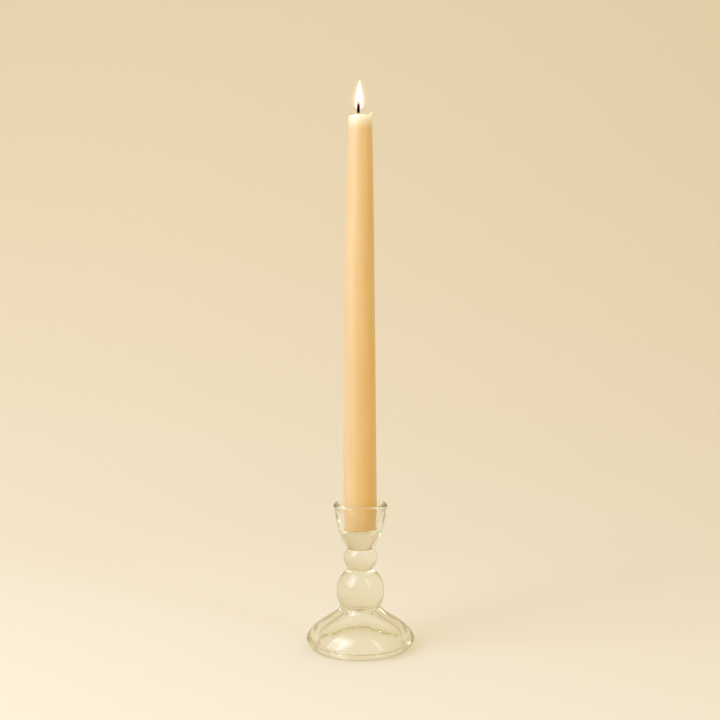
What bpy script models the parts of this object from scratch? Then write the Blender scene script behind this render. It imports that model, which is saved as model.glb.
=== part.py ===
"""Pressed-glass candlestick with a tall taper candle and its wick.

Run with: blender --background --python part.py
Units are metres, +Z is up, and the origin is the centre of the ring on which
the foot rests. The lengths below are in millimetres and are scaled by MM.
"""

import math

import bmesh
import bpy

MM = 0.001
NAME = "glass_candlestick_with_taper"

# Gap that is kept between pieces that touch each other.
GAP = 0.3

# Heights of the glass, from the table up.
CREASE_Z = 28.2
SOCKET_Z = 79.8
RIM_Z = 96.9

# Foot: a bell with a thick rounded edge, standing on a flat ring.
FOOT_R = 36.4
FOOT_WIDEST_Z = 6.9
REST_OUTER_R = 31.8
REST_INNER_R = 30.6
HOLLOW_MOUTH_R = 29.4
HOLLOW_MOUTH_Z = 3.2
CREASE_R = 13.4

# Hollow under the foot: a domed crown that flares out to the rest ring.
CROWN_R = 10.4
CROWN_Z = 20.8
CROWN_END_DEG = 24.0
FLARE_R = 25.6
FLARE_Z = 11.3

# Large ball above the foot: an upper and a lower half with one width.
BALL_Z = 38.8
BALL_CORE_R = 1.0
BALL_BULGE = 15.0
BALL_UPPER = 17.2
BALL_LOWER = 18.5

# Small knop between the ball and the cup.
KNOP_Z = 61.6
KNOP_CORE_R = 5.4
KNOP_BULGE = 5.85
KNOP_HALF = 7.9

# Cup with a rolled lip, and the tapered socket pressed into it.
WAIST_R = 9.0
WAIST_Z = 68.2
CUP_TOP_R = 17.1
CUP_TOP_Z = 93.9
LIP_R = 1.72
LIP_CENTRE_R = 16.33
SOCKET_R = 11.6
SOCKET_CORNER = 3.6

# Taper candle: a slightly bowed dip-shaped stick with a burnt bowl on top.
CANDLE_BASE_Z = 82.0
CANDLE_BASE_R = 11.12
CANDLE_TOP_Z = 356.0
CANDLE_TOP_R = 7.7
CANDLE_CHAMFER_R = 0.9
CANDLE_CHAMFER_Z = 1.2
CANDLE_TAPER_POWER = 2.5
CANDLE_BOW = 0.75
BOWL_R = 5.6
BOWL_DEPTH = 1.7
LIP_RISE = 1.6

# Wick: runs the whole length of the wax and stands proud of the bowl.
WICK_R = 0.85
WICK_BOTTOM_Z = 82.3
WICK_TOP_Z = 363.5
WICK_LEAN = 0.7

# Smoothness of the turned pieces.
GLASS_STEPS = 40
CANDLE_STEPS = 24


def scaled(points):
    """Profile points in millimetres to metres."""
    return [(radius * MM, height * MM) for radius, height in points]


def ellipse(centre, half_width, half_height, start, end, count):
    """Points on an ellipse from one angle in degrees to another."""
    points = []
    for index in range(count + 1):
        angle = math.radians(start + (end - start) * index / count)
        radius = centre[0] + half_width * math.cos(angle)
        height = centre[1] + half_height * math.sin(angle)
        points.append((radius, height))
    return points


def bezier(start, start_handle, end_handle, end, count):
    """Points on a cubic Bezier curve."""
    points = []
    for index in range(count + 1):
        t = index / count
        u = 1.0 - t
        weights = (u ** 3, 3 * u * u * t, 3 * u * t * t, t ** 3)
        corners = (start, start_handle, end_handle, end)
        radius = sum(w * corner[0] for w, corner in zip(weights, corners))
        height = sum(w * corner[1] for w, corner in zip(weights, corners))
        points.append((radius, height))
    return points


def joined(sections, smallest=0.15):
    """One outline from several sections, without doubled points."""
    outline = []
    for section in sections:
        for point in section:
            if outline and math.dist(point, outline[-1]) < smallest:
                continue
            outline.append(point)
    return outline


def angle_at_radius(core, bulge, radius):
    """Angle in degrees at which a bulge has narrowed to a radius."""
    return math.degrees(math.acos((radius - core) / bulge))


def glass_outline():
    """Outline of the glass: socket, lip, outer side downwards, then the hollow."""
    corner = (SOCKET_R - SOCKET_CORNER, SOCKET_Z + SOCKET_CORNER)
    lip = (LIP_CENTRE_R, RIM_Z)
    lip_inside = (LIP_CENTRE_R - LIP_R, RIM_Z)
    ball_upper_end = angle_at_radius(BALL_CORE_R, BALL_BULGE, 8.2)
    ball_lower_end = angle_at_radius(BALL_CORE_R, BALL_BULGE, CREASE_R)
    knop_lower_end = angle_at_radius(KNOP_CORE_R, KNOP_BULGE, 8.2)
    knop_upper_end = angle_at_radius(KNOP_CORE_R, KNOP_BULGE, 8.6)
    crown_end = math.radians(CROWN_END_DEG)
    crown_foot = (
        CROWN_R * math.cos(crown_end),
        CROWN_Z + CROWN_R * math.sin(crown_end),
    )
    crown_handle = (
        crown_foot[0] + 4.5 * math.sin(crown_end),
        crown_foot[1] - 4.5 * math.cos(crown_end),
    )
    mouth = (HOLLOW_MOUTH_R, HOLLOW_MOUTH_Z)
    flare = (FLARE_R, FLARE_Z)
    sections = [
        [(0.0, SOCKET_Z)],
        ellipse(corner, SOCKET_CORNER, SOCKET_CORNER, -90.0, 0.0, 4),
        bezier((SOCKET_R, corner[1]), (12.4, 86.4), (14.3, 90.4), lip_inside, 4),
        ellipse(lip, LIP_R, LIP_R, 180.0, -50.0, 7),
        bezier((CUP_TOP_R, CUP_TOP_Z), (16.2, 84.0), (14.6, 77.5), (WAIST_R, WAIST_Z), 6),
        ellipse((KNOP_CORE_R, KNOP_Z), KNOP_BULGE, KNOP_HALF, knop_upper_end, -knop_lower_end, 7),
        ellipse((BALL_CORE_R, BALL_Z), BALL_BULGE, BALL_UPPER, ball_upper_end, 0.0, 6),
        ellipse((BALL_CORE_R, BALL_Z), BALL_BULGE, BALL_LOWER, 0.0, -ball_lower_end, 4),
        bezier((CREASE_R, CREASE_Z), (16.5, 21.5), (33.0, 17.0), (FOOT_R, FOOT_WIDEST_Z), 8),
        bezier((FOOT_R, FOOT_WIDEST_Z), (FOOT_R, 4.0), (34.4, 1.4), (REST_OUTER_R, 0.0), 4),
        [(REST_INNER_R, 0.0)],
        bezier((REST_INNER_R, 0.0), (29.2, 0.0), (29.6, 1.6), mouth, 3),
        bezier(mouth, (29.1, 6.2), (28.4, 8.6), flare, 3),
        bezier(flare, (21.6, 15.0), crown_handle, crown_foot, 6),
        ellipse((0.0, CROWN_Z), CROWN_R, CROWN_R, CROWN_END_DEG, 90.0, 4),
    ]
    return joined(sections)


def candle_radius(height):
    """Radius of the wax at a height: nearly straight, then tapering off."""
    share = (height - CANDLE_BASE_Z) / (CANDLE_TOP_Z - CANDLE_BASE_Z)
    share = min(max(share, 0.0), 1.0)
    return CANDLE_BASE_R - (CANDLE_BASE_R - CANDLE_TOP_R) * share ** CANDLE_TAPER_POWER


def bow(height):
    """Sideways bow of the candle at a height; none at either end."""
    share = (height - CANDLE_BASE_Z) / (CANDLE_TOP_Z - CANDLE_BASE_Z)
    share = min(max(share, 0.0), 1.0)
    return -CANDLE_BOW * math.sin(math.pi * share)


def candle_outline():
    """Closed outline of the wax, with the wick's channel on its inner side."""
    channel = WICK_R + GAP
    top = CANDLE_TOP_Z
    sides = 12
    first = CANDLE_BASE_Z + CANDLE_CHAMFER_Z
    last = top - 1.2
    wall = []
    for index in range(sides + 1):
        height = last + (first - last) * index / sides
        wall.append((candle_radius(height), height))
    outline = [
        (channel, top - BOWL_DEPTH),
        (BOWL_R * 0.62, top - BOWL_DEPTH * 0.86),
        (BOWL_R, top - BOWL_DEPTH * 0.32),
        (CANDLE_TOP_R - 1.1, top),
        (CANDLE_TOP_R - 0.3, top - 0.4),
    ]
    outline += wall
    outline += [
        (CANDLE_BASE_R - CANDLE_CHAMFER_R, CANDLE_BASE_Z),
        (channel, CANDLE_BASE_Z),
    ]
    outline += [(channel, height) for radius, height in reversed(wall[1:])]
    outline.append((channel, top - BOWL_DEPTH))
    return outline


def new_collection(name):
    """Empty collection linked to the scene."""
    collection = bpy.data.collections.new(name)
    bpy.context.scene.collection.children.link(collection)
    return collection


def new_material(name, color, roughness, transmission=0.0, subsurface=0.0):
    """Principled material."""
    material = bpy.data.materials.new(name)
    material.use_nodes = True
    shader = material.node_tree.nodes["Principled BSDF"]
    shader.inputs["Base Color"].default_value = (*color, 1.0)
    shader.inputs["Roughness"].default_value = roughness
    shader.inputs["Metallic"].default_value = 0.0
    shader.inputs["Transmission Weight"].default_value = transmission
    shader.inputs["Subsurface Weight"].default_value = subsurface
    return material


def turned(name, outline, steps, collection, material):
    """Solid turned from an outline with a Screw modifier."""
    mesh = bpy.data.meshes.new(name)
    vertices = [(radius, 0.0, height) for radius, height in scaled(outline)]
    edges = [(index, index + 1) for index in range(len(vertices) - 1)]
    mesh.from_pydata(vertices, edges, [])
    item = bpy.data.objects.new(name, mesh)
    collection.objects.link(item)
    item.data.materials.append(material)
    screw = item.modifiers.new("Turn", "SCREW")
    screw.axis = "Z"
    screw.angle = math.tau
    screw.steps = steps
    screw.render_steps = steps
    screw.use_merge_vertices = True
    screw.merge_threshold = 0.00005
    screw.use_smooth_shade = True
    return item


def made_mesh(item, name):
    """Replace an object by its evaluated mesh, so that it can be shaped further."""
    depsgraph = bpy.context.evaluated_depsgraph_get()
    mesh = bpy.data.meshes.new_from_object(item.evaluated_get(depsgraph))
    mesh.name = name
    item.modifiers.clear()
    item.data = mesh
    return item


def shape_candle(item):
    """Bow the wax sideways and raise one side of the lip round the bowl."""
    work = bmesh.new()
    work.from_mesh(item.data)
    bmesh.ops.remove_doubles(work, verts=work.verts, dist=0.00002)
    top = CANDLE_TOP_Z * MM
    for vertex in work.verts:
        height = vertex.co.z / MM
        radius = math.hypot(vertex.co.x, vertex.co.y)
        if height > CANDLE_TOP_Z - 1.3 and radius > BOWL_R * MM * 0.9:
            side = 0.5 + 0.5 * vertex.co.x / radius
            near_top = 1.0 - min((top - vertex.co.z) / (1.3 * MM), 1.0)
            vertex.co.z += LIP_RISE * MM * side ** 3 * near_top
        vertex.co.x += bow(height) * MM
    bmesh.ops.recalc_face_normals(work, faces=work.faces)
    work.to_mesh(item.data)
    work.free()
    item.data.shade_smooth()


def wick_line():
    """Heights and sideways offsets of the wick's centre line."""
    stops = 14
    points = []
    for index in range(stops + 1):
        height = WICK_BOTTOM_Z + (CANDLE_TOP_Z - 3.0 - WICK_BOTTOM_Z) * index / stops
        points.append((bow(height), height))
    free = WICK_TOP_Z - CANDLE_TOP_Z
    for index in range(1, 5):
        share = index / 4
        lean = -WICK_LEAN * share * share
        points.append((lean, CANDLE_TOP_Z + free * share))
    return points


def make_wick(collection, material):
    """Round cord following the candle's bow, a little bent at its free end."""
    curve = bpy.data.curves.new("wick", "CURVE")
    curve.dimensions = "3D"
    curve.bevel_depth = WICK_R * MM
    curve.bevel_resolution = 2
    curve.use_fill_caps = True
    points = wick_line()
    spline = curve.splines.new("POLY")
    spline.points.add(len(points) - 1)
    for point, (offset, height) in zip(spline.points, points):
        point.co = (offset * MM, 0.0, height * MM, 1.0)
    item = bpy.data.objects.new("wick", curve)
    collection.objects.link(item)
    item.data.materials.append(material)
    return item


def clear_scene():
    """Remove whatever the scene holds."""
    for item in list(bpy.data.objects):
        bpy.data.objects.remove(item, do_unlink=True)


def main():
    """Build the glass, the candle and the wick."""
    clear_scene()
    collection = new_collection(NAME)
    glass = new_material("clear_glass", (0.93, 0.96, 0.89), 0.03, transmission=1.0)
    wax = new_material("apricot_wax", (0.86, 0.55, 0.27), 0.42, subsurface=0.3)
    cotton = new_material("charred_cotton", (0.05, 0.035, 0.025), 0.9)
    turned("glass_candlestick", glass_outline(), GLASS_STEPS, collection, glass)
    candle = turned("taper_candle", candle_outline(), CANDLE_STEPS, collection, wax)
    made_mesh(candle, "taper_candle")
    shape_candle(candle)
    make_wick(collection, cotton)


if __name__ == "__main__":
    main()
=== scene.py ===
"""Pressed-glass candlestick with a lit taper candle, in a plain studio sweep.

Each piece of the object has its own operator, and one more builds the stage.
Their sizes and colours are properties of the scene, shown in a panel in the
sidebar of the 3D view. Lengths are in metres, and profiles are written in
millimetres and scaled by MM.
"""

import math

import bmesh
import bpy
from bpy.props import FloatProperty, FloatVectorProperty, IntProperty, PointerProperty
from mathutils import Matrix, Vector, noise


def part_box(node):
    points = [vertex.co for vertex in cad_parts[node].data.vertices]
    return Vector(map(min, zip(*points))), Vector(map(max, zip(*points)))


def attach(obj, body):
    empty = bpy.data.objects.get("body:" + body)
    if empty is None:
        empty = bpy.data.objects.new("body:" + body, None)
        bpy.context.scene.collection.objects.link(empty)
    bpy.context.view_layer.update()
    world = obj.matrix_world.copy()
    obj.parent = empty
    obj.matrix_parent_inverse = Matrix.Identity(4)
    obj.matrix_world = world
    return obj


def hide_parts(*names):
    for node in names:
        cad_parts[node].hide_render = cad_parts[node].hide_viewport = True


bl_info = {
    "name": "Candlestick Maker",
    "version": (1, 0, 0),
    "blender": (4, 5, 0),
    "location": "View3D > Sidebar > Candlestick",
    "description": "Builds a pressed-glass candlestick with a lit taper candle",
    "category": "Object",
}

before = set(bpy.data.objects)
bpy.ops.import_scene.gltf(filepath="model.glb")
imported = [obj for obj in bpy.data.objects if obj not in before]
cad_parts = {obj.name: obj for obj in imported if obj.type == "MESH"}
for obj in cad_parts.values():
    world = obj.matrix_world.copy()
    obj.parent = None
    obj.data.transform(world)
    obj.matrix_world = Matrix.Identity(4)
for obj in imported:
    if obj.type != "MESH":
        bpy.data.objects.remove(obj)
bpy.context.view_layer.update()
GLASS_LOW, GLASS_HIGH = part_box("glass_candlestick")
WAX_LOW, WAX_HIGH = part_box("taper_candle")
WICK_LOW, WICK_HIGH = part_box("wick")

MM = 0.001

# Glass profile in millimetres: radius and height of its centres and corners.
# The crown's arc ends at an angle in degrees.
SOCKET_FLOOR = (0.0, 79.8)
SOCKET_CORNER = (8.0, 83.4)
SOCKET_CORNER_RADIUS = 3.6
SOCKET_WALL = (11.6, 83.4)
LIP = (16.33, 96.9)
LIP_RADIUS = 1.72
LIP_INNER = (14.61, 96.9)
CUP_TOP = (17.1, 93.9)
WAIST = (9.0, 68.2)
KNOP = (5.4, 61.6)
KNOP_BULGE = 5.85
KNOP_HALF_HEIGHT = 7.9
KNOP_TOP_RADIUS = 8.6
NECK_RADIUS = 8.2
BALL = (1.0, 38.8)
BALL_BULGE = 15.0
BALL_UPPER_HEIGHT = 17.2
BALL_LOWER_HEIGHT = 18.5
CREASE = (13.4, 28.2)
FOOT_WIDEST_HEIGHT = 6.9
REST_OUTER = (31.8, 0.0)
REST_INNER = (30.6, 0.0)
HOLLOW_MOUTH = (29.4, 3.2)
HOLLOW_FLARE = (25.6, 11.3)
CROWN_END = 24.0
CROWN_HANDLE = 4.5

# Beads round the dome of the hollow, in metres.
BEAD_HEIGHT = 0.0265
BEAD_SPREAD = 0.0018
BEAD_COUNT = 28.0
DOME_RADIUS = 0.0108
DOME_HEIGHT = 0.032

# Heights along the candle, wick and flame, and how far the wick's end leans.
CANDLE_LENGTH = 0.274
CANDLE_TOP = WAX_LOW[2] + CANDLE_LENGTH
WICK_TWIST_START = CANDLE_TOP - 0.006
WICK_LEAN_START = CANDLE_TOP - 0.002
WICK_TIP = WICK_HIGH[2]
WICK_END_GAP = 0.0002
WICK_LEAN = 0.0013
FLAME_FOOT = WICK_TIP - 0.0052
FLAME_WICK_X = -0.00125

# Sideways place of the flame's foot and drift of its tip, in millimetres.
FLAME_FOOT_X = -1.05
FLAME_DRIFT = 0.55

# Paper sweep in metres.
SWEEP_FRONT = -1.8
SWEEP_HALF_WIDTH = 2.6
SWEEP_WALL = 1.2
SWEEP_STEPS = 48

# Sensor width in millimetres, and sideways shift as a share of the frame's width.
SENSOR_WIDTH = 36.0
CAMERA_SHIFT = -0.4 / 720
LIGHT_AIM = Vector((0.0, 0.0, 0.1))


# ---------------------------------------------------------------- properties


class GlassSettings(bpy.types.PropertyGroup):
    """Sizes and colour of the pressed glass."""

    foot_radius: FloatProperty(
        name="Foot radius",
        description="Widest radius of the foot",
        default=GLASS_HIGH[0],
        min=0.01,
        unit="LENGTH",
    )
    crown_radius: FloatProperty(
        name="Crown radius",
        description="Radius of the domed top of the hollow under the foot",
        default=0.0104,
        min=0.002,
        unit="LENGTH",
    )
    crown_height: FloatProperty(
        name="Crown height",
        description="Height of the centre of the hollow's dome",
        default=0.0208,
        min=0.005,
        unit="LENGTH",
    )
    bead: FloatProperty(
        name="Bead",
        description="Height of the fine beads round the dome of the hollow",
        default=0.00022,
        min=0.0,
        unit="LENGTH",
    )
    ripple: FloatProperty(
        name="Ripple",
        description="How far the fire-polished surface wanders from a true turning",
        default=0.000025,
        min=0.0,
        unit="LENGTH",
    )
    tint: FloatVectorProperty(
        name="Tint",
        description="Colour that light takes on in the depth of the glass",
        default=(0.65, 0.60, 0.05),
        min=0.0,
        max=1.0,
        subtype="COLOR",
    )
    tint_density: FloatProperty(
        name="Tint density",
        description="How quickly the glass takes on its tint, per metre",
        default=7.0,
        min=0.0,
    )
    segments: IntProperty(
        name="Segments",
        description="Number of segments round the axis",
        default=168,
        min=24,
        max=256,
    )


class CandleSettings(bpy.types.PropertyGroup):
    """Sizes and colours of the wax and its melted pool."""

    base_radius: FloatProperty(
        name="Base radius",
        description="Radius of the candle at its lower end",
        default=0.01112,
        min=0.002,
        unit="LENGTH",
    )
    top_radius: FloatProperty(
        name="Top radius",
        description="Radius of the candle at its burnt end",
        default=0.0077,
        min=0.002,
        unit="LENGTH",
    )
    bow: FloatProperty(
        name="Bow",
        description="How far the middle of the candle leans out of line",
        default=0.00075,
        min=0.0,
        unit="LENGTH",
    )
    lip_rise: FloatProperty(
        name="Lip rise",
        description="Height of the raised crest on one side of the burnt lip",
        default=0.0019,
        min=0.0,
        unit="LENGTH",
    )
    color_low: FloatVectorProperty(
        name="Lower colour",
        description="Colour of the wax near the socket",
        default=(0.755, 0.458, 0.092),
        min=0.0,
        max=1.0,
        subtype="COLOR",
    )
    color_high: FloatVectorProperty(
        name="Upper colour",
        description="Colour of the wax near the flame",
        default=(0.768, 0.495, 0.152),
        min=0.0,
        max=1.0,
        subtype="COLOR",
    )
    segments: IntProperty(
        name="Segments",
        description="Number of segments round the axis",
        default=112,
        min=24,
        max=256,
    )


class WickSettings(bpy.types.PropertyGroup):
    """Sizes of the braided wick."""

    radius: FloatProperty(
        name="Radius",
        description="Outer radius of the cord",
        default=0.00095,
        min=0.0002,
        unit="LENGTH",
    )
    lay: FloatProperty(
        name="Lay",
        description="Length along the cord of one full turn of a strand",
        default=0.0062,
        min=0.001,
        unit="LENGTH",
    )
    strands: IntProperty(
        name="Strands",
        description="Number of strands twisted round the core",
        default=4,
        min=2,
        max=8,
    )


class FlameSettings(bpy.types.PropertyGroup):
    """Size, colour and brightness of the flame."""

    tip_height: FloatProperty(
        name="Tip height",
        description="Height of the tip of the flame",
        default=0.3779,
        min=0.01,
        unit="LENGTH",
    )
    radius: FloatProperty(
        name="Radius",
        description="Largest radius of the bright core",
        default=0.0022,
        min=0.0005,
        unit="LENGTH",
    )
    strength: FloatProperty(
        name="Strength",
        description="Emission of the bright core",
        default=9.0,
        min=0.0,
    )


class StageSettings(bpy.types.PropertyGroup):
    """Sweep, lights and camera."""

    paper: FloatVectorProperty(
        name="Paper",
        description="Colour of the paper on the table",
        default=(0.816, 0.757, 0.638),
        min=0.0,
        max=1.0,
        subtype="COLOR",
    )
    # Painted shade: the far paper gets a deeper, warmer colour that stands in for the shading
    # where the sweep curves up.
    paper_far_shade: FloatVectorProperty(
        name="Far paper",
        description="Colour of the paper where it rises behind the table",
        default=(0.830, 0.742, 0.582),
        min=0.0,
        max=1.0,
        subtype="COLOR",
    )
    bend_start: FloatProperty(
        name="Bend start",
        description="Distance behind the candlestick at which the paper starts to rise",
        default=0.3,
        min=0.0,
        unit="LENGTH",
    )
    bend_radius: FloatProperty(
        name="Bend radius",
        description="Radius of the curve in which the paper rises",
        default=1.9,
        min=0.1,
        unit="LENGTH",
    )
    key_power: FloatProperty(
        name="Key power",
        description="Power of the large soft light on the left",
        default=18.0,
        min=0.0,
        unit="POWER",
    )
    key_color: FloatVectorProperty(
        name="Key colour",
        description="Colour of the soft lights",
        default=(0.87, 1.0, 1.22),
        min=0.0,
        subtype="COLOR",
    )
    strip_power: FloatProperty(
        name="Strip power",
        description="Power of each of the two narrow lights",
        default=3.0,
        min=0.0,
        unit="POWER",
    )
    ambient: FloatProperty(
        name="Ambient",
        description="Strength of the even light from all round",
        default=0.785,
        min=0.0,
    )
    ambient_color: FloatVectorProperty(
        name="Ambient colour",
        description="Colour of the even light from all round",
        default=(1.0, 0.86, 0.62),
        min=0.0,
        max=1.0,
        subtype="COLOR",
    )
    camera_distance: FloatProperty(
        name="Camera distance",
        description="Level distance of the camera from the axis of the candle",
        default=0.950,
        min=0.1,
        unit="LENGTH",
    )
    camera_height: FloatProperty(
        name="Camera height",
        description="Height of the camera over the table",
        default=0.289,
        min=0.0,
        unit="LENGTH",
    )
    camera_pitch: FloatProperty(
        name="Camera pitch",
        description="How far the camera looks down",
        default=math.radians(5.64),
        unit="ROTATION",
    )
    lens: FloatProperty(
        name="Lens",
        description="Focal length in millimetres on a 36 mm wide sensor",
        default=71.8,
        min=10.0,
    )


class CandlestickSettings(bpy.types.PropertyGroup):
    """All settings of the candlestick and its stage."""

    glass: PointerProperty(type=GlassSettings)
    candle: PointerProperty(type=CandleSettings)
    wick: PointerProperty(type=WickSettings)
    flame: PointerProperty(type=FlameSettings)
    stage: PointerProperty(type=StageSettings)


# ------------------------------------------------------------------ outlines


def ellipse(centre, half_width, half_height, start, end, count):
    """Points on an ellipse from one angle in degrees to another."""
    points = []
    for index in range(count + 1):
        angle = math.radians(start + (end - start) * index / count)
        radius = centre[0] + half_width * math.cos(angle)
        height = centre[1] + half_height * math.sin(angle)
        points.append((radius, height))
    return points


def bezier(start, start_handle, end_handle, end, count):
    """Points on a cubic Bezier curve."""
    points = []
    for index in range(count + 1):
        t = index / count
        u = 1.0 - t
        weights = (u ** 3, 3 * u * u * t, 3 * u * t * t, t ** 3)
        corners = (start, start_handle, end_handle, end)
        radius = sum(w * corner[0] for w, corner in zip(weights, corners))
        height = sum(w * corner[1] for w, corner in zip(weights, corners))
        points.append((radius, height))
    return points


def joined(sections, smallest=0.04):
    """One outline from several sections, without doubled points."""
    outline = []
    for section in sections:
        for point in section:
            if outline and math.dist(point, outline[-1]) < smallest:
                continue
            outline.append(point)
    return outline


def narrowed_at(core, bulge, radius):
    """Angle in degrees at which a bulge has narrowed to a radius."""
    return math.degrees(math.acos((radius - core) / bulge))


def glass_outline(glass):
    """Outline of the glass in millimetres: socket, lip, outer side, then the hollow."""
    foot = glass.foot_radius / MM
    crown = glass.crown_radius / MM
    crown_z = glass.crown_height / MM
    angle = math.radians(CROWN_END)
    crown_foot = (crown * math.cos(angle), crown_z + crown * math.sin(angle))
    crown_handle = (
        crown_foot[0] + CROWN_HANDLE * math.sin(angle),
        crown_foot[1] - CROWN_HANDLE * math.cos(angle),
    )
    widest = (foot, FOOT_WIDEST_HEIGHT)
    knop_top = narrowed_at(KNOP[0], KNOP_BULGE, KNOP_TOP_RADIUS)
    knop_foot = narrowed_at(KNOP[0], KNOP_BULGE, NECK_RADIUS)
    ball_top = narrowed_at(BALL[0], BALL_BULGE, NECK_RADIUS)
    ball_foot = narrowed_at(BALL[0], BALL_BULGE, CREASE[0])
    corner = SOCKET_CORNER_RADIUS
    return joined(
        [
            [SOCKET_FLOOR],
            ellipse(SOCKET_CORNER, corner, corner, -90.0, 0.0, 12),
            bezier(SOCKET_WALL, (12.4, 86.4), (14.3, 90.4), LIP_INNER, 22),
            ellipse(LIP, LIP_RADIUS, LIP_RADIUS, 180.0, -50.0, 26),
            bezier(CUP_TOP, (16.2, 84.0), (14.6, 77.5), WAIST, 32),
            ellipse(KNOP, KNOP_BULGE, KNOP_HALF_HEIGHT, knop_top, -knop_foot, 30),
            ellipse(BALL, BALL_BULGE, BALL_UPPER_HEIGHT, ball_top, 0.0, 26),
            ellipse(BALL, BALL_BULGE, BALL_LOWER_HEIGHT, 0.0, -ball_foot, 18),
            bezier(CREASE, (16.5, 21.5), (33.0, 17.0), widest, 36),
            bezier(widest, (foot, 4.0), (34.4, 1.4), REST_OUTER, 14),
            bezier(REST_INNER, (29.2, 0.0), (29.6, 1.6), HOLLOW_MOUTH, 8),
            bezier(HOLLOW_MOUTH, (29.1, 6.2), (28.4, 8.6), HOLLOW_FLARE, 14),
            bezier(HOLLOW_FLARE, (21.6, 15.0), crown_handle, crown_foot, 20),
            ellipse((0.0, crown_z), crown, crown, CROWN_END, 90.0, 16),
        ]
    )


def candle_share(height):
    """Share of the candle's length at a height, from 0 at its foot to 1."""
    return min(max((height - WAX_LOW[2]) / CANDLE_LENGTH, 0.0), 1.0)


def candle_radius(candle, height):
    """Radius of the wax at a height: nearly straight, then tapering off."""
    share = candle_share(height)
    return candle.base_radius - (candle.base_radius - candle.top_radius) * share ** 2.5


def candle_bow(candle, height):
    """Sideways bow of the candle at a height; none at either end."""
    return -candle.bow * math.sin(math.pi * candle_share(height))


# -------------------------------------------------------------------- meshes


def turned(outline, steps):
    """Mesh work turned from an outline of radius and height in metres."""
    work = bmesh.new()
    rail = [work.verts.new((radius, 0.0, height)) for radius, height in outline]
    edges = [work.edges.new(pair) for pair in zip(rail, rail[1:])]
    bmesh.ops.spin(
        work,
        geom=rail + edges,
        cent=(0.0, 0.0, 0.0),
        axis=(0.0, 0.0, 1.0),
        angle=math.tau,
        steps=steps,
        use_merge=True,
    )
    bmesh.ops.remove_doubles(work, verts=work.verts, dist=1e-6)
    bmesh.ops.recalc_face_normals(work, faces=work.faces)
    return work


def linked(name, work, material):
    """Smooth shaded object made from mesh work."""
    for face in work.faces:
        face.smooth = True
    mesh = bpy.data.meshes.new(name)
    work.to_mesh(mesh)
    work.free()
    mesh.materials.append(material)
    piece = bpy.data.objects.new(name, mesh)
    bpy.context.scene.collection.objects.link(piece)
    return piece


def finished(name, work, material, body):
    """Object made from mesh work and riding on a body."""
    piece = linked(name, work, material)
    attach(piece, body)
    return piece


# ----------------------------------------------------------------- materials


def new_material(name):
    """Material with an empty node tree and its output node."""
    material = bpy.data.materials.new(name)
    material.use_nodes = True
    tree = material.node_tree
    tree.nodes.clear()
    output = tree.nodes.new("ShaderNodeOutputMaterial")
    return material, tree, output


def add(tree, kind, inputs=None, **settings):
    """Node of a kind, with its own settings and input values."""
    node = tree.nodes.new(kind)
    for key, value in settings.items():
        setattr(node, key, value)
    for key, value in (inputs or {}).items():
        node.inputs[key].default_value = value
    return node


def object_noise(tree, scale, stretch=(1.0, 1.0, 1.0), detail=4.0):
    """Noise over a piece's own coordinates, stretched along its axes."""
    place = add(tree, "ShaderNodeTexCoord")
    mapping = add(tree, "ShaderNodeMapping", {"Scale": stretch})
    pattern = add(
        tree,
        "ShaderNodeTexNoise",
        {"Scale": scale, "Detail": detail, "Roughness": 0.55},
    )
    tree.links.new(place.outputs["Object"], mapping.inputs["Vector"])
    tree.links.new(mapping.outputs["Vector"], pattern.inputs["Vector"])
    return pattern.outputs["Fac"]


def ranged(tree, value, low, high, to_low, to_high, smooth=False):
    """Value mapped from one range to another, clamped."""
    kind = "SMOOTHSTEP" if smooth else "LINEAR"
    mapped = add(
        tree,
        "ShaderNodeMapRange",
        {"From Min": low, "From Max": high, "To Min": to_low, "To Max": to_high},
        interpolation_type=kind,
    )
    tree.links.new(value, mapped.inputs["Value"])
    return mapped.outputs["Result"]


def object_axis(tree, axis):
    """Place along one of the object's own axes as a value."""
    place = add(tree, "ShaderNodeTexCoord")
    split = add(tree, "ShaderNodeSeparateXYZ")
    tree.links.new(place.outputs["Object"], split.inputs["Vector"])
    return split.outputs[axis]


def calculated(tree, operation, first, second=None):
    """Value worked out from one or two sockets or numbers."""
    result = add(tree, "ShaderNodeMath", operation=operation)
    for socket, value in zip(result.inputs, (first, second)):
        if isinstance(value, float):
            socket.default_value = value
        elif value is not None:
            tree.links.new(value, socket)
    return result.outputs["Value"]


def blended(tree, factor, first, second):
    """Colour mixed from two colours or sockets by a factor."""
    mix = add(tree, "ShaderNodeMix", data_type="RGBA")
    tree.links.new(factor, mix.inputs[0])
    for socket, value in ((mix.inputs[6], first), (mix.inputs[7], second)):
        if isinstance(value, tuple):
            socket.default_value = value
        else:
            tree.links.new(value, socket)
    return mix.outputs[2]


def bumped(tree, heights):
    """Normal from several heights, each with its distance and strength."""
    normal = None
    for height, distance, strength in heights:
        bump = add(tree, "ShaderNodeBump", {"Distance": distance, "Strength": strength})
        tree.links.new(height, bump.inputs["Height"])
        if normal:
            tree.links.new(normal, bump.inputs["Normal"])
        normal = bump.outputs["Normal"]
    return normal


def rgba(color):
    """Colour with full opacity."""
    return (color[0], color[1], color[2], 1.0)


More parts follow.
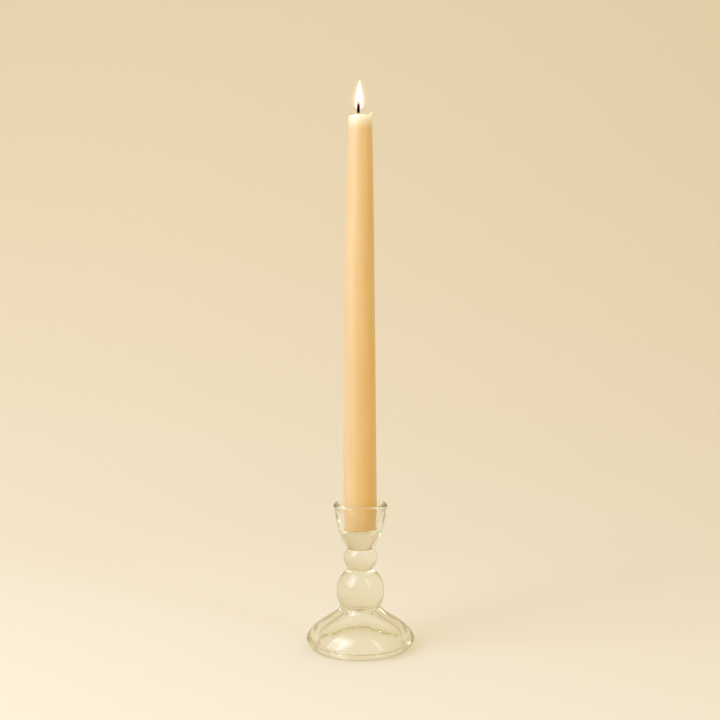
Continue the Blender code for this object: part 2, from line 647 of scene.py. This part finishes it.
def clear_glass_material(glass):
    """Clear glass, tinted in its depth, with painted dark shade at its edges; lamp light passes
    through.
    """
    material, tree, output = new_material("clear_pressed_glass")
    shader = add(
        tree,
        "ShaderNodeBsdfPrincipled",
        {"IOR": 1.5, "Transmission Weight": 1.0},
    )
    # Painted shade: the colour turns dark olive where the surface turns edge-on, standing in
    # for the dark reflections at the glass's rims.
    rim = add(tree, "ShaderNodeLayerWeight", {"Blend": 0.5})
    edge = ranged(tree, rim.outputs["Facing"], 0.62, 0.94, 0.0, 1.0, smooth=True)
    color = blended(tree, edge, (0.99, 0.995, 0.965, 1.0), (0.09, 0.12, 0.045, 1.0))
    tree.links.new(color, shader.inputs["Base Color"])
    smudge = object_noise(tree, 220.0, detail=5.0)
    tree.links.new(ranged(tree, smudge, 0.45, 0.75, 0.0, 0.035), shader.inputs["Roughness"])
    waves = object_noise(tree, 95.0, (1.0, 1.0, 0.6), detail=1.5)
    grain = object_noise(tree, 900.0, detail=2.0)
    normal = bumped(tree, [(waves, 0.0004, 0.22), (grain, 0.00003, 0.1)])
    tree.links.new(normal, shader.inputs["Normal"])
    facing = add(tree, "ShaderNodeLayerWeight", {"Blend": 0.35})
    passed = blended(
        tree, facing.outputs["Facing"], (1.0, 0.995, 0.97, 1.0), (0.74, 0.69, 0.55, 1.0)
    )
    lamp_side = add(tree, "ShaderNodeBsdfTransparent")
    tree.links.new(passed, lamp_side.inputs["Color"])
    path = add(tree, "ShaderNodeLightPath")
    lamp_light = calculated(
        tree, "MAXIMUM", path.outputs["Is Shadow Ray"], path.outputs["Is Diffuse Ray"]
    )
    mix = add(tree, "ShaderNodeMixShader")
    tree.links.new(lamp_light, mix.inputs["Fac"])
    tree.links.new(shader.outputs["BSDF"], mix.inputs[1])
    tree.links.new(lamp_side.outputs["BSDF"], mix.inputs[2])
    tree.links.new(mix.outputs["Shader"], output.inputs["Surface"])
    depth = add(
        tree,
        "ShaderNodeVolumeAbsorption",
        {"Color": rgba(glass.tint), "Density": glass.tint_density},
    )
    tree.links.new(depth.outputs["Volume"], output.inputs["Volume"])
    return material


def wax_material(candle):
    """Apricot wax, a little paler higher up, with a painted sheen on one side, a painted flame
    glow near its lip, streaks, specks and dents.
    """
    material, tree, output = new_material("apricot_taper_wax")
    shader = add(
        tree,
        "ShaderNodeBsdfPrincipled",
        {
            "IOR": 1.44,
            "Subsurface Weight": 0.5,
            "Subsurface Radius": (1.0, 0.45, 0.16),
            "Subsurface Scale": 0.003,
            "Specular IOR Level": 0.7,
            "Coat Weight": 0.8,
            "Coat Roughness": 0.40,
        },
    )
    height = object_axis(tree, "Z")
    top = WAX_HIGH[2]
    rise = ranged(tree, height, WAX_LOW[2], top, 0.0, 1.0, smooth=True)
    color = blended(tree, rise, rgba(candle.color_low), rgba(candle.color_high))
    # Painted sheen: the left side, where the soft light falls, is blended towards a pale, cool
    # colour.
    side = ranged(tree, object_axis(tree, "X"), -0.011, 0.008, 0.5, 0.0, smooth=True)
    color = blended(tree, side, color, (0.66, 0.52, 0.42, 1.0))
    # Painted flame glow: the wax near the lip is blended paler, as if the flame lit it through.
    flame_glow_paint = ranged(tree, height, top - 0.012, top - 0.001, 0.0, 1.0, smooth=True)
    color = blended(tree, flame_glow_paint, color, (0.95, 0.90, 0.68, 1.0))
    # Painted flame glow: a faint emission near the lip stands in for flame light passing
    # through the wax.
    lit = ranged(tree, height, top - 0.006, top - 0.001, 0.0, 0.10, smooth=True)
    shader.inputs["Emission Color"].default_value = (0.75, 1.0, 0.85, 1.0)
    tree.links.new(lit, shader.inputs["Emission Strength"])
    streaks = object_noise(tree, 260.0, (1.0, 1.0, 0.05), detail=3.0)
    drawn = ranged(tree, streaks, 0.4, 0.65, 0.0, 0.22)
    color = blended(tree, drawn, color, (0.86, 0.60, 0.30, 1.0))
    bloom = object_noise(tree, 45.0, (1.0, 1.0, 0.5), detail=4.0)
    cloudy = ranged(tree, bloom, 0.4, 0.7, 0.0, 0.14)
    color = blended(tree, cloudy, color, (0.88, 0.66, 0.42, 1.0))
    place = add(tree, "ShaderNodeTexCoord")
    specks = add(tree, "ShaderNodeTexVoronoi", {"Scale": 130.0, "Randomness": 1.0})
    tree.links.new(place.outputs["Object"], specks.inputs["Vector"])
    fleck = ranged(tree, specks.outputs["Distance"], 0.05, 0.09, 0.35, 0.0)
    color = blended(tree, fleck, color, (0.62, 0.36, 0.14, 1.0))
    tree.links.new(color, shader.inputs["Base Color"])
    rough = object_noise(tree, 160.0, (1.0, 1.0, 0.3), detail=4.0)
    tree.links.new(ranged(tree, rough, 0.3, 0.7, 0.34, 0.52), shader.inputs["Roughness"])
    dents = object_noise(tree, 70.0, (1.0, 1.0, 0.35), detail=2.0)
    fine = object_noise(tree, 900.0, (1.0, 1.0, 0.25), detail=3.0)
    normal = bumped(tree, [(dents, 0.0012, 0.30), (fine, 0.00006, 0.35)])
    tree.links.new(normal, shader.inputs["Normal"])
    tree.links.new(shader.outputs["BSDF"], output.inputs["Surface"])
    return material


def melt_material():
    """Clear, pale amber melted wax with a rippled glossy surface."""
    material, tree, output = new_material("melted_wax")
    shader = add(
        tree,
        "ShaderNodeBsdfPrincipled",
        {
            "Base Color": (0.99, 0.83, 0.55, 1.0),
            "IOR": 1.43,
            "Transmission Weight": 0.55,
            "Subsurface Weight": 0.3,
            "Subsurface Scale": 0.002,
            "Coat Weight": 0.6,
            "Coat Roughness": 0.04,
        },
    )
    ripples = object_noise(tree, 420.0, detail=1.5)
    tree.links.new(ranged(tree, ripples, 0.3, 0.7, 0.04, 0.10), shader.inputs["Roughness"])
    tree.links.new(bumped(tree, [(ripples, 0.0001, 0.3)]), shader.inputs["Normal"])
    tree.links.new(shader.outputs["BSDF"], output.inputs["Surface"])
    return material


def cotton_material():
    """Wick cotton: waxy and pale below, charred above, with an ember near its end."""
    material, tree, output = new_material("charred_wick_cotton")
    shader = add(tree, "ShaderNodeBsdfPrincipled", {"Specular IOR Level": 0.05})
    height = object_axis(tree, "Z")
    rag = object_noise(tree, 1500.0, detail=3.0)
    shift = ranged(tree, rag, 0.3, 0.7, -0.0006, 0.0006)
    level = calculated(tree, "ADD", height, shift)
    char = ranged(tree, level, WICK_TIP - 0.0068, WICK_TIP - 0.0058, 0.0, 1.0)
    color = blended(tree, char, (0.92, 0.80, 0.58, 1.0), (0.003, 0.002, 0.002, 1.0))
    ember = ranged(tree, level, WICK_TIP - 0.0026, WICK_TIP - 0.0012, 0.0, 1.0, smooth=True)
    color = blended(tree, ember, color, (0.12, 0.01, 0.003, 1.0))
    tree.links.new(color, shader.inputs["Base Color"])
    tree.links.new(ranged(tree, char, 0.0, 1.0, 0.45, 0.95), shader.inputs["Roughness"])
    shader.inputs["Emission Color"].default_value = (1.0, 0.06, 0.005, 1.0)
    tree.links.new(ranged(tree, ember, 0.0, 1.0, 0.0, 0.20), shader.inputs["Emission Strength"])
    fibre = object_noise(tree, 2600.0, (1.0, 1.0, 0.3), detail=2.0)
    tree.links.new(bumped(tree, [(fibre, 0.00008, 0.8)]), shader.inputs["Normal"])
    tree.links.new(shader.outputs["BSDF"], output.inputs["Surface"])
    return material


def flame_material(name, color, strength, opacity, tip):
    """Glowing gas: clear before the wick, yellow over its ember, thinner at the tip."""
    material, tree, output = new_material(name)
    light = add(tree, "ShaderNodeEmission")
    clear = add(tree, "ShaderNodeBsdfTransparent")
    foot = FLAME_FOOT
    height = object_axis(tree, "Z")
    aside = calculated(tree, "ADD", object_axis(tree, "X"), -FLAME_WICK_X)
    aside = calculated(tree, "ABSOLUTE", aside)
    over_ember = ranged(tree, height, foot + 0.0060, foot + 0.0080, 1.0, 0.0, smooth=True)
    before_wick = ranged(tree, aside, 0.0008, 0.0015, 1.0, 0.0, smooth=True)
    warmth = calculated(tree, "MULTIPLY", over_ember, before_wick)
    hue = blended(tree, warmth, rgba(color), (1.0, 0.80, 0.25, 1.0))
    tree.links.new(hue, light.inputs["Color"])
    tree.links.new(ranged(tree, warmth, 0.0, 1.0, strength, 0.9), light.inputs["Strength"])
    middle = ranged(tree, height, foot + 0.0048, foot + 0.0066, 0.0, 1.0, smooth=True)
    beside = ranged(tree, height, foot + 0.0016, foot + 0.0060, 0.0, 0.85, smooth=True)
    flank = ranged(tree, aside, 0.0009, 0.0017, 0.0, 1.0, smooth=True)
    flanked = calculated(tree, "MULTIPLY", beside, flank)
    dense = calculated(tree, "MAXIMUM", middle, flanked)
    body = ranged(tree, dense, 0.0, 1.0, 0.0, opacity)
    end = ranged(tree, height, tip - 0.0035, tip, 1.0, 0.55, smooth=True)
    flicker = object_noise(tree, 260.0, (1.0, 1.0, 0.35), detail=1.0)
    lively = ranged(tree, flicker, 0.3, 0.7, 0.94, 1.0)
    share = calculated(tree, "MULTIPLY", calculated(tree, "MULTIPLY", body, end), lively)
    mix = add(tree, "ShaderNodeMixShader")
    tree.links.new(share, mix.inputs["Fac"])
    tree.links.new(clear.outputs["BSDF"], mix.inputs[1])
    tree.links.new(light.outputs["Emission"], mix.inputs[2])
    tree.links.new(mix.outputs["Shader"], output.inputs["Surface"])
    return material


def paper_material(stage):
    """Matt paper with a fine tooth and painted shade: it turns deeper and warmer towards the
    back, where it rises behind the table.
    """
    material, tree, output = new_material("cream_paper_sweep")
    shader = add(
        tree, "ShaderNodeBsdfPrincipled", {"Roughness": 0.9, "Specular IOR Level": 0.2}
    )
    # Painted shade: the paper's colour turns deeper and warmer towards the back, where the
    # sweep curves up.
    away = ranged(tree, object_axis(tree, "Y"), 0.0, 1.4, 0.0, 1.0)
    color = blended(tree, away, rgba(stage.paper), rgba(stage.paper_far_shade))
    tooth = object_noise(tree, 900.0, detail=3.0)
    worn = ranged(tree, tooth, 0.3, 0.7, 0.0, 0.02)
    color = blended(tree, worn, color, (1.0, 0.97, 0.92, 1.0))
    tree.links.new(color, shader.inputs["Base Color"])
    tree.links.new(bumped(tree, [(tooth, 0.00003, 0.2)]), shader.inputs["Normal"])
    tree.links.new(shader.outputs["BSDF"], output.inputs["Surface"])
    return material


# ----------------------------------------------------------------- operators


class CANDLESTICK_OT_glass(bpy.types.Operator):
    """Turn the pressed glass: cup, knop, ball and hollow foot in one piece"""

    bl_idname = "candlestick.make_glass"
    bl_label = "Make Glass"

    def execute(self, context):
        glass = context.scene.candlestick.glass
        outline = [(radius * MM, height * MM) for radius, height in glass_outline(glass)]
        work = turned(outline, glass.segments)
        work.normal_update()
        margin = 0.0002
        moves = []
        for vertex in work.verts:
            if vertex.co.z < margin or vertex.co.z > GLASS_HIGH[2] - margin:
                continue
            wander = noise.noise(vertex.co * 75.0) * glass.ripple
            wander += self.bead(vertex.co) * glass.bead
            moves.append((vertex, vertex.normal * wander))
        for vertex, move in moves:
            vertex.co += move
        material = clear_glass_material(glass)
        piece = finished("pressed_glass", work, material, "holder")
        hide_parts("glass_candlestick")
        return {"FINISHED"}

    def bead(self, place):
        """Share of the beads' full height at a place; none away from the dome."""
        if math.hypot(place.x, place.y) >= DOME_RADIUS or place.z >= DOME_HEIGHT:
            return 0.0
        band = math.exp(-(((place.z - BEAD_HEIGHT) / BEAD_SPREAD) ** 2))
        turn = math.atan2(place.y, place.x)
        return band * math.sin(BEAD_COUNT * turn + 0.8 * math.sin(3.0 * turn))


class CANDLESTICK_OT_wax(bpy.types.Operator):
    """Turn the taper candle and burn a shallow bowl into its top"""

    bl_idname = "candlestick.make_wax"
    bl_label = "Make Wax"

    def execute(self, context):
        candle = context.scene.candlestick.candle
        wick = context.scene.candlestick.wick
        low = WAX_LOW[2]
        top = CANDLE_TOP
        bore = wick.radius + 0.3 * MM
        rim = candle.top_radius
        side_top = top - 0.8 * MM
        side_low = low + 1.2 * MM
        rings = 120
        side = []
        for index in range(rings + 1):
            height = side_top + (side_low - side_top) * index / rings
            side.append((candle_radius(candle, height), height))
        bowl = bezier(
            (bore, top - 1.7 * MM),
            (rim * 0.55, top - 1.75 * MM),
            (rim * 0.84, top - 1.25 * MM),
            (rim - 1.0 * MM, top - 0.1 * MM),
            14,
        )
        lip = bezier(
            (rim - 1.0 * MM, top - 0.1 * MM),
            (rim - 0.75 * MM, top + 0.12 * MM),
            (rim - 0.05 * MM, top + 0.04 * MM),
            side[0],
            12,
        )
        foot = bezier(
            side[-1],
            (candle.base_radius, low + 0.5 * MM),
            (candle.base_radius - 0.35 * MM, low),
            (candle.base_radius - 0.95 * MM, low),
            6,
        )
        channel = [(bore, height) for radius, height in reversed(side[::6])]
        outline = joined([bowl, lip, side, foot, [(bore, low)], channel], 0.00002)
        outline.append(outline[0])
        work = turned(outline, candle.segments)
        for vertex in work.verts:
            place = vertex.co
            spread = math.hypot(place.x, place.y)
            if spread > rim * 0.6:
                place.z += self.lip_lift(candle, place)
            if spread > bore * 1.5:
                dent = noise.noise(Vector((place.x, place.y, place.z * 0.35)) * 110.0)
                swell = noise.noise(Vector((0.0, 0.0, place.z * 16.0)))
                push = 1.0 + (dent * 0.06 * MM + swell * 0.10 * MM) / spread
                place.x *= push
                place.y *= push
            place.x += candle_bow(candle, place.z)
        bmesh.ops.recalc_face_normals(work, faces=work.faces)
        piece = finished("candle_wax", work, wax_material(candle), "candle")
        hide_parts("taper_candle")
        return {"FINISHED"}

    def lip_lift(self, candle, place):
        """Rise of the burnt lip at a place: a crest on one side, uneven elsewhere."""
        deep = 1.4 * MM
        crest = min(max((place.z - (CANDLE_TOP - deep)) / deep, 0.0), 1.0)
        turn = math.atan2(place.y, place.x)
        right = math.exp(-(turn / 0.42) ** 2)
        uneven = 0.22 * math.sin(3.0 * turn + 0.6) + 0.14 * math.sin(7.0 * turn)
        slope = 0.30 * math.cos(turn)
        return (right * candle.lip_rise + (uneven + slope) * MM * 0.6) * crest


class CANDLESTICK_OT_melt(bpy.types.Operator):
    """Fill the burnt bowl with a shallow pool of melted wax"""

    bl_idname = "candlestick.make_melt"
    bl_label = "Make Melt"

    def execute(self, context):
        candle = context.scene.candlestick.candle
        wick = context.scene.candlestick.wick
        level = CANDLE_TOP - 1.0 * MM
        bore = wick.radius + 0.1 * MM
        edge = candle.top_radius * 0.80
        surface = bezier(
            (bore, level + 0.18 * MM),
            (bore + 0.5 * MM, level),
            (edge - 0.8 * MM, level - 0.02 * MM),
            (edge, level + 0.10 * MM),
            16,
        )
        under = bezier(
            (edge, level + 0.10 * MM),
            (edge * 0.9, level - 0.45 * MM),
            (edge * 0.6, level - 0.62 * MM),
            (bore, level - 0.64 * MM),
            10,
        )
        outline = joined([surface, under], 0.00001)
        outline.append(outline[0])
        work = turned(outline, 72)
        finished("melt_pool", work, melt_material(), "candle")
        return {"FINISHED"}


def wick_centre(candle, height):
    """Sideways place of the wick: in the wax along its bow, then leaning over its free end."""
    if height <= WICK_LEAN_START:
        return candle_bow(candle, height)
    share = (height - WICK_LEAN_START) / (WICK_TIP - WICK_LEAN_START)
    return -WICK_LEAN * math.sin(min(share * 2.2, 1.0) * math.pi / 2)


class CANDLESTICK_OT_wick(bpy.types.Operator):
    """Twist the wick's strands round their core, through the wax and up to the flame"""

    bl_idname = "candlestick.make_wick"
    bl_label = "Make Wick"

    def execute(self, context):
        candle = context.scene.candlestick.candle
        wick = context.scene.candlestick.wick
        low = WICK_LOW[2] + WICK_END_GAP
        high = WICK_TIP - WICK_END_GAP
        core = wick.radius * 0.86
        core_end = WICK_TWIST_START + 2.0 * MM
        rings = 60
        sides = [(core, low + (core_end - low) * index / rings) for index in range(rings + 1)]
        work = turned([(0.0, low)] + sides + [(0.0, core_end)], 20)
        for index in range(wick.strands):
            start = math.tau * index / wick.strands
            self.add_strand(work, wick, start, WICK_TWIST_START, high)
        for vertex in work.verts:
            taper = min(max((high - vertex.co.z) / (1.2 * MM), 0.0), 1.0)
            frayed = 0.72 + 0.28 * taper
            vertex.co.x *= frayed
            vertex.co.y *= frayed
            vertex.co.x += wick_centre(candle, vertex.co.z)
        bmesh.ops.recalc_face_normals(work, faces=work.faces)
        piece = finished("wick_cord", work, cotton_material(), "candle")
        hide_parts("wick")
        return {"FINISHED"}

    def add_strand(self, work, wick, start, low, high):
        """One strand: a disc swept upwards round the cord's centre."""
        strand = wick.radius * 0.52
        reach = wick.radius - strand
        disc = bmesh.ops.create_circle(work, cap_ends=True, segments=10, radius=strand)
        place = Vector((reach * math.cos(start), reach * math.sin(start), low))
        bmesh.ops.translate(work, verts=disc["verts"], vec=place)
        faces = {face for vertex in disc["verts"] for face in vertex.link_faces}
        steps = 56
        turns = (high - low) / wick.lay
        geom = list(faces) + disc["verts"]
        geom += list({edge for vertex in disc["verts"] for edge in vertex.link_edges})
        bmesh.ops.spin(
            work,
            geom=geom,
            cent=(0.0, 0.0, 0.0),
            axis=(0.0, 0.0, 1.0),
            dvec=(0.0, 0.0, (high - low) / steps),
            angle=math.tau * turns,
            steps=steps,
        )


class CANDLESTICK_OT_flame(bpy.types.Operator):
    """Blow up the flame from nested shells, a bright core inside thin glowing gas"""

    bl_idname = "candlestick.make_flame"
    bl_label = "Make Flame"

    def execute(self, context):
        flame = context.scene.candlestick.flame
        foot = FLAME_FOOT
        shells = (
            ("flame_core", 1.00, 0.0, (1.0, 0.97, 0.88), flame.strength, 0.95),
            ("flame_mantle", 1.24, 0.0005, (1.0, 0.94, 0.68), 1.7, 0.50),
            ("flame_fringe", 1.55, 0.0012, (1.0, 0.87, 0.56), 1.20, 0.34),
            ("flame_veil", 2.05, 0.0024, (1.0, 0.80, 0.50), 1.08, 0.20),
            ("flame_haze", 2.90, 0.0040, (1.0, 0.76, 0.48), 1.05, 0.10),
        )
        for name, widen, lift, color, strength, opacity in shells:
            tip = flame.tip_height + lift
            outline = self.shell(foot - lift * 0.3, tip, flame.radius * widen)
            work = turned(outline, 64)
            for vertex in work.verts:
                share = (vertex.co.z - foot) / (tip - foot)
                vertex.co.x += (FLAME_FOOT_X + FLAME_DRIFT * share) * MM
            material = flame_material(name + "_gas", color, strength, opacity, tip)
            finished(name, work, material, "candle")
        return {"FINISHED"}

    def shell(self, foot, tip, radius):
        """Teardrop outline: round below, drawn out to a point above."""
        tall = tip - foot
        belly = foot + tall * 0.27
        lower = bezier(
            (0.0, foot),
            (radius * 0.72, foot),
            (radius, foot + tall * 0.1),
            (radius, belly),
            18,
        )
        upper = bezier(
            (radius, belly),
            (radius, belly + tall * 0.30),
            (radius * 0.34, tip - tall * 0.16),
            (0.0, tip),
            30,
        )
        return joined([lower, upper], 0.00001)


class CANDLESTICK_OT_stage(bpy.types.Operator):
    """Lay the paper sweep and set the soft lights and the camera"""

    bl_idname = "candlestick.make_stage"
    bl_label = "Make Stage"

    def execute(self, context):
        scene = context.scene
        stage = scene.candlestick.stage
        self.lay_sweep(stage)
        self.set_lights(scene, stage)
        self.set_camera(scene, stage)
        scene.view_settings.view_transform = "Standard"
        # Light caught in the thick glass needs many turns to find its way out.
        scene.cycles.max_bounces = 32
        scene.cycles.transmission_bounces = 32
        scene.cycles.glossy_bounces = 24
        scene.cycles.transparent_max_bounces = 32
        return {"FINISHED"}

    def lay_sweep(self, stage):
        """Paper that runs over the table and curves up into the wall."""
        half = SWEEP_HALF_WIDTH
        bend, radius = stage.bend_start, stage.bend_radius
        work = bmesh.new()
        rail = [work.verts.new((-half, SWEEP_FRONT, 0.0))]
        for index in range(SWEEP_STEPS + 1):
            angle = math.pi / 2 * index / SWEEP_STEPS
            across = bend + radius * math.sin(angle)
            rail.append(work.verts.new((-half, across, radius - radius * math.cos(angle))))
        rail.append(work.verts.new((-half, bend + radius, radius + SWEEP_WALL)))
        edges = [work.edges.new(pair) for pair in zip(rail, rail[1:])]
        grown = bmesh.ops.extrude_edge_only(work, edges=edges)
        moved = [part for part in grown["geom"] if isinstance(part, bmesh.types.BMVert)]
        bmesh.ops.translate(work, verts=moved, vec=(2 * half, 0.0, 0.0))
        bmesh.ops.recalc_face_normals(work, faces=work.faces)
        sweep = linked("paper_sweep", work, paper_material(stage))

    def set_lights(self, scene, stage):
        """Large soft box on the left, a narrow one on each side, and even light all round."""
        boxes = (
            ("key_box", -58.0, 42.0, 1.8, (1.3, 1.6), stage.key_power),
            ("left_strip", -50.0, 36.0, 1.7, (0.30, 1.2), stage.strip_power),
            ("right_strip", 46.0, 36.0, 1.8, (0.30, 1.2), stage.strip_power),
        )
        for name, azimuth, elevation, distance, size, power in boxes:
            lamp = self.soft_box(scene, name, azimuth, elevation, distance, size)
            lamp.energy, lamp.color = power, stage.key_color
        world = bpy.data.worlds.new("studio")
        scene.world = world
        world.use_nodes = True
        backing = world.node_tree.nodes["Background"]
        backing.inputs["Color"].default_value = rgba(stage.ambient_color)
        backing.inputs["Strength"].default_value = stage.ambient

    def soft_box(self, scene, name, azimuth, elevation, distance, size):
        """Area light at an angle round the candlestick, facing it."""
        turn, rise = math.radians(azimuth), math.radians(elevation)
        place = Vector(
            (
                distance * math.sin(turn) * math.cos(rise),
                -distance * math.cos(turn) * math.cos(rise),
                distance * math.sin(rise),
            )
        )
        lamp = bpy.data.lights.new(name, "AREA")
        lamp.shape = "RECTANGLE"
        lamp.size, lamp.size_y = size
        holder = bpy.data.objects.new(name, lamp)
        scene.collection.objects.link(holder)
        holder.location = place
        aim = LIGHT_AIM - place
        holder.rotation_euler = aim.to_track_quat("-Z", "Y").to_euler()
        return lamp

    def set_camera(self, scene, stage):
        """Camera in front of the candlestick, looking slightly down."""
        data = bpy.data.cameras.new("camera")
        data.sensor_width = SENSOR_WIDTH
        data.lens = stage.lens
        data.shift_x = CAMERA_SHIFT
        camera = bpy.data.objects.new("camera", data)
        scene.collection.objects.link(camera)
        camera.location = (0.0, -stage.camera_distance, stage.camera_height)
        camera.rotation_euler = (math.radians(90.0) - stage.camera_pitch, 0.0, 0.0)
        scene.camera = camera


class CANDLESTICK_PT_maker(bpy.types.Panel):
    """Sidebar panel that lists the settings and the operators"""

    bl_label = "Candlestick Maker"
    bl_idname = "CANDLESTICK_PT_maker"
    bl_space_type = "VIEW_3D"
    bl_region_type = "UI"
    bl_category = "Candlestick"

    def draw(self, context):
        settings = context.scene.candlestick
        groups = (
            (settings.glass, (CANDLESTICK_OT_glass,)),
            (settings.candle, (CANDLESTICK_OT_wax, CANDLESTICK_OT_melt)),
            (settings.wick, (CANDLESTICK_OT_wick,)),
            (settings.flame, (CANDLESTICK_OT_flame,)),
            (settings.stage, (CANDLESTICK_OT_stage,)),
        )
        for group, makers in groups:
            box = self.layout.box()
            for key in group.__annotations__:
                box.prop(group, key)
            for maker in makers:
                box.operator(maker.bl_idname)


CLASSES = (
    GlassSettings,
    CandleSettings,
    WickSettings,
    FlameSettings,
    StageSettings,
    CandlestickSettings,
    CANDLESTICK_OT_glass,
    CANDLESTICK_OT_wax,
    CANDLESTICK_OT_melt,
    CANDLESTICK_OT_wick,
    CANDLESTICK_OT_flame,
    CANDLESTICK_OT_stage,
    CANDLESTICK_PT_maker,
)


def register():
    """Register the classes and hang the settings on the scene."""
    for item in CLASSES:
        bpy.utils.register_class(item)
    bpy.types.Scene.candlestick = PointerProperty(type=CandlestickSettings)


def unregister():
    """Take the settings off the scene and unregister the classes."""
    del bpy.types.Scene.candlestick
    for item in reversed(CLASSES):
        bpy.utils.unregister_class(item)


def main():
    """Build the object and the stage."""
    register()
    bpy.ops.candlestick.make_glass()
    bpy.ops.candlestick.make_wax()
    bpy.ops.candlestick.make_melt()
    bpy.ops.candlestick.make_wick()
    bpy.ops.candlestick.make_flame()
    bpy.ops.candlestick.make_stage()


if __name__ == "__main__":
    main()
